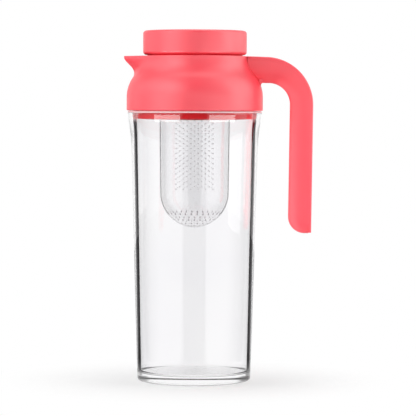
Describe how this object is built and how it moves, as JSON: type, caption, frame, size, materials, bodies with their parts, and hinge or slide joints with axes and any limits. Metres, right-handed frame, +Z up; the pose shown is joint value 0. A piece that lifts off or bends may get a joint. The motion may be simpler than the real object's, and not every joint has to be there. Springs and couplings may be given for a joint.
{
  "type": "fruit infuser pitcher",
  "caption": "Tall clear pitcher with a coral screw-on pouring collar, beak spout, side handle, turning plug cap and a hanging perforated infuser basket.",
  "frame": {"origin": "on the jug's axis, at the underside of its foot", "axes": "+Z up along the jug's axis, -X towards the spout, +X towards the handle"},
  "size_m": [0.1579, 0.113, 0.29],
  "materials": {
    "clear_plastic": "clear polished moulded plastic",
    "coral_plastic": "satin moulded plastic",
    "silicone": "matte silicone"
  },
  "bodies": {
    "jug": {"jug_body": "clear_plastic"},
    "neck_ring": {"collar_gasket": "silicone"},
    "collar_assembly": {"collar": "coral_plastic", "collar_liner": "coral_plastic", "handle_grip": "coral_plastic", "handle_back_strip": "coral_plastic"},
    "basket": {"infuser_basket": "clear_plastic"},
    "seal_ring": {"cap_seal": "silicone"},
    "cap": {"cap_shell": "coral_plastic", "cap_plug": "coral_plastic"}
  },
  "joints": [
    {"name": "collar_rise", "type": "slide", "parent": "jug", "child": "neck_ring", "axis": [0, 0, 1], "range_m": [0, 0.0112]},
    {"name": "collar_unscrew", "type": "hinge", "parent": "neck_ring", "child": "collar_assembly", "pos_m": [0, 0, 0.232], "axis": [0, 0, 1], "range_deg": [0, 220]},
    {"name": "basket_lift", "type": "slide", "parent": "collar_assembly", "child": "basket", "axis": [0, 0, 1], "range_m": [0, 0.145]},
    {"name": "cap_lift", "type": "slide", "parent": "basket", "child": "seal_ring", "axis": [0, 0, 1], "range_m": [0, 0.03]},
    {"name": "cap_turn", "type": "hinge", "parent": "seal_ring", "child": "cap", "pos_m": [0, 0, 0.27], "axis": [0, 0, 1], "range_deg": [0, 90]}
  ],
  "couplings": [
    {"joint": "collar_rise", "follows": "collar_unscrew", "m_per_rad": 0.0028648}
  ]
}
